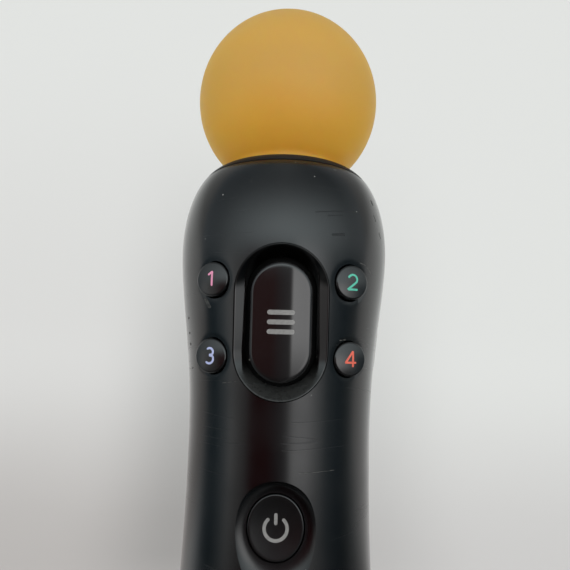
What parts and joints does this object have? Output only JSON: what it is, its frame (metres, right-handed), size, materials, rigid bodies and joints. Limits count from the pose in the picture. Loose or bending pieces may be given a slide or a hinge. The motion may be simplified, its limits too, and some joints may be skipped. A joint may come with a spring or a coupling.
{
  "type": "motion controller wand",
  "caption": "Hand-held motion controller wand: a turned black grip with a frosted light ball on top, push buttons on the front and side and a sprung finger trigger behind.",
  "frame": {"origin": "middle of the flat base, on the seam between the two halves", "axes": "+Z along the wand from the base to the ball, -Y the way the front buttons face, +X to the right of someone who looks at the buttons"},
  "size_m": [0.046, 0.05, 0.2],
  "materials": {
    "satin_black": "fine satin grain, lightly worn",
    "gloss_black": "polished",
    "button_black": "semi-gloss, smooth",
    "amber_frost": "frosted and translucent, soft to the touch",
    "clear_plastic": "clear",
    "board_green": "lacquered",
    "lamp_white": "plain",
    "grey_plastic": "plain moulded",
    "steel": "plated",
    "grey_rubber": "matte",
    "cell_wrap": "plain shrink wrap",
    "brass": "machined",
    "red_lens": "tinted, smooth"
  },
  "bodies": {
    "handle": {"front_shell": "satin_black", "rear_shell": "satin_black", "collar_ring": "satin_black", "light_sphere": "amber_frost", "sphere_seat": "clear_plastic", "led_board": "board_green", "led_package": "lamp_white", "dish_bezel": "gloss_black", "left_side_switch": "grey_plastic", "right_side_switch": "grey_plastic", "trigger_pin": "steel", "trigger_spring": "steel", "trigger_sensor": "grey_plastic", "chassis": "grey_plastic", "main_board": "board_green", "keypad_mat": "grey_rubber", "home_pad": "grey_rubber", "processor_chip": "grey_plastic", "radio_shield": "steel", "motion_sensor_board": "board_green", "battery_cell": "cell_wrap", "battery_plug": "lamp_white", "motor_can": "steel", "base_board": "board_green", "usb_socket": "steel", "extension_socket": "grey_plastic", "status_lens": "red_lens", "reset_switch": "grey_plastic", "strap_bar": "steel", "case_screws": "steel"},
    "big_button": {"big_button": "gloss_black"},
    "upper_left_button": {"upper_left_button": "button_black"},
    "upper_right_button": {"upper_right_button": "button_black"},
    "lower_left_button": {"lower_left_button": "button_black"},
    "lower_right_button": {"lower_right_button": "button_black"},
    "home_button": {"home_button": "button_black"},
    "left_side_button": {"left_side_button": "button_black"},
    "right_side_button": {"right_side_button": "button_black"},
    "trigger": {"trigger": "satin_black"},
    "motor_weight": {"motor_weight": "brass"},
    "reset_plunger": {"reset_plunger": "grey_plastic"}
  },
  "joints": [
    {"name": "big_button_press", "type": "slide", "parent": "handle", "child": "big_button", "axis": [0, 0.9951, 0.0993], "range_m": [0, 0.001], "stiffness_N_per_m": 600},
    {"name": "upper_left_press", "type": "slide", "parent": "handle", "child": "upper_left_button", "axis": [0.342, 0.9397, 0], "range_m": [0, 0.001], "stiffness_N_per_m": 600},
    {"name": "upper_right_press", "type": "slide", "parent": "handle", "child": "upper_right_button", "axis": [-0.342, 0.9397, 0], "range_m": [0, 0.001], "stiffness_N_per_m": 600},
    {"name": "lower_left_press", "type": "slide", "parent": "handle", "child": "lower_left_button", "axis": [0.342, 0.9397, 0], "range_m": [0, 0.001], "stiffness_N_per_m": 600},
    {"name": "lower_right_press", "type": "slide", "parent": "handle", "child": "lower_right_button", "axis": [-0.342, 0.9397, 0], "range_m": [0, 0.001], "stiffness_N_per_m": 600},
    {"name": "home_press", "type": "slide", "parent": "handle", "child": "home_button", "axis": [0, 1, 0], "range_m": [0, 0.001], "stiffness_N_per_m": 600},
    {"name": "left_side_press", "type": "slide", "parent": "handle", "child": "left_side_button", "axis": [1, 0, 0], "range_m": [0, 0.0009], "stiffness_N_per_m": 600},
    {"name": "right_side_press", "type": "slide", "parent": "handle", "child": "right_side_button", "axis": [-1, 0, 0], "range_m": [0, 0.0009], "stiffness_N_per_m": 600},
    {"name": "trigger_pull", "type": "hinge", "parent": "handle", "child": "trigger", "pos_m": [0, 0.01436, 0.131], "axis": [-1, 0, 0], "range_deg": [0, 14], "stiffness_Nm_per_rad": 0.12, "springref_deg": -5.73, "deforming": ["trigger_spring"]},
    {"name": "motor_spin", "type": "hinge", "parent": "handle", "child": "motor_weight", "pos_m": [0, 0.0035, 0.08], "axis": [0, 0, 1], "continuous": true},
    {"name": "reset_press", "type": "slide", "parent": "handle", "child": "reset_plunger", "axis": [0, -1, 0], "range_m": [0, 0.0005], "stiffness_N_per_m": 600}
  ]
}
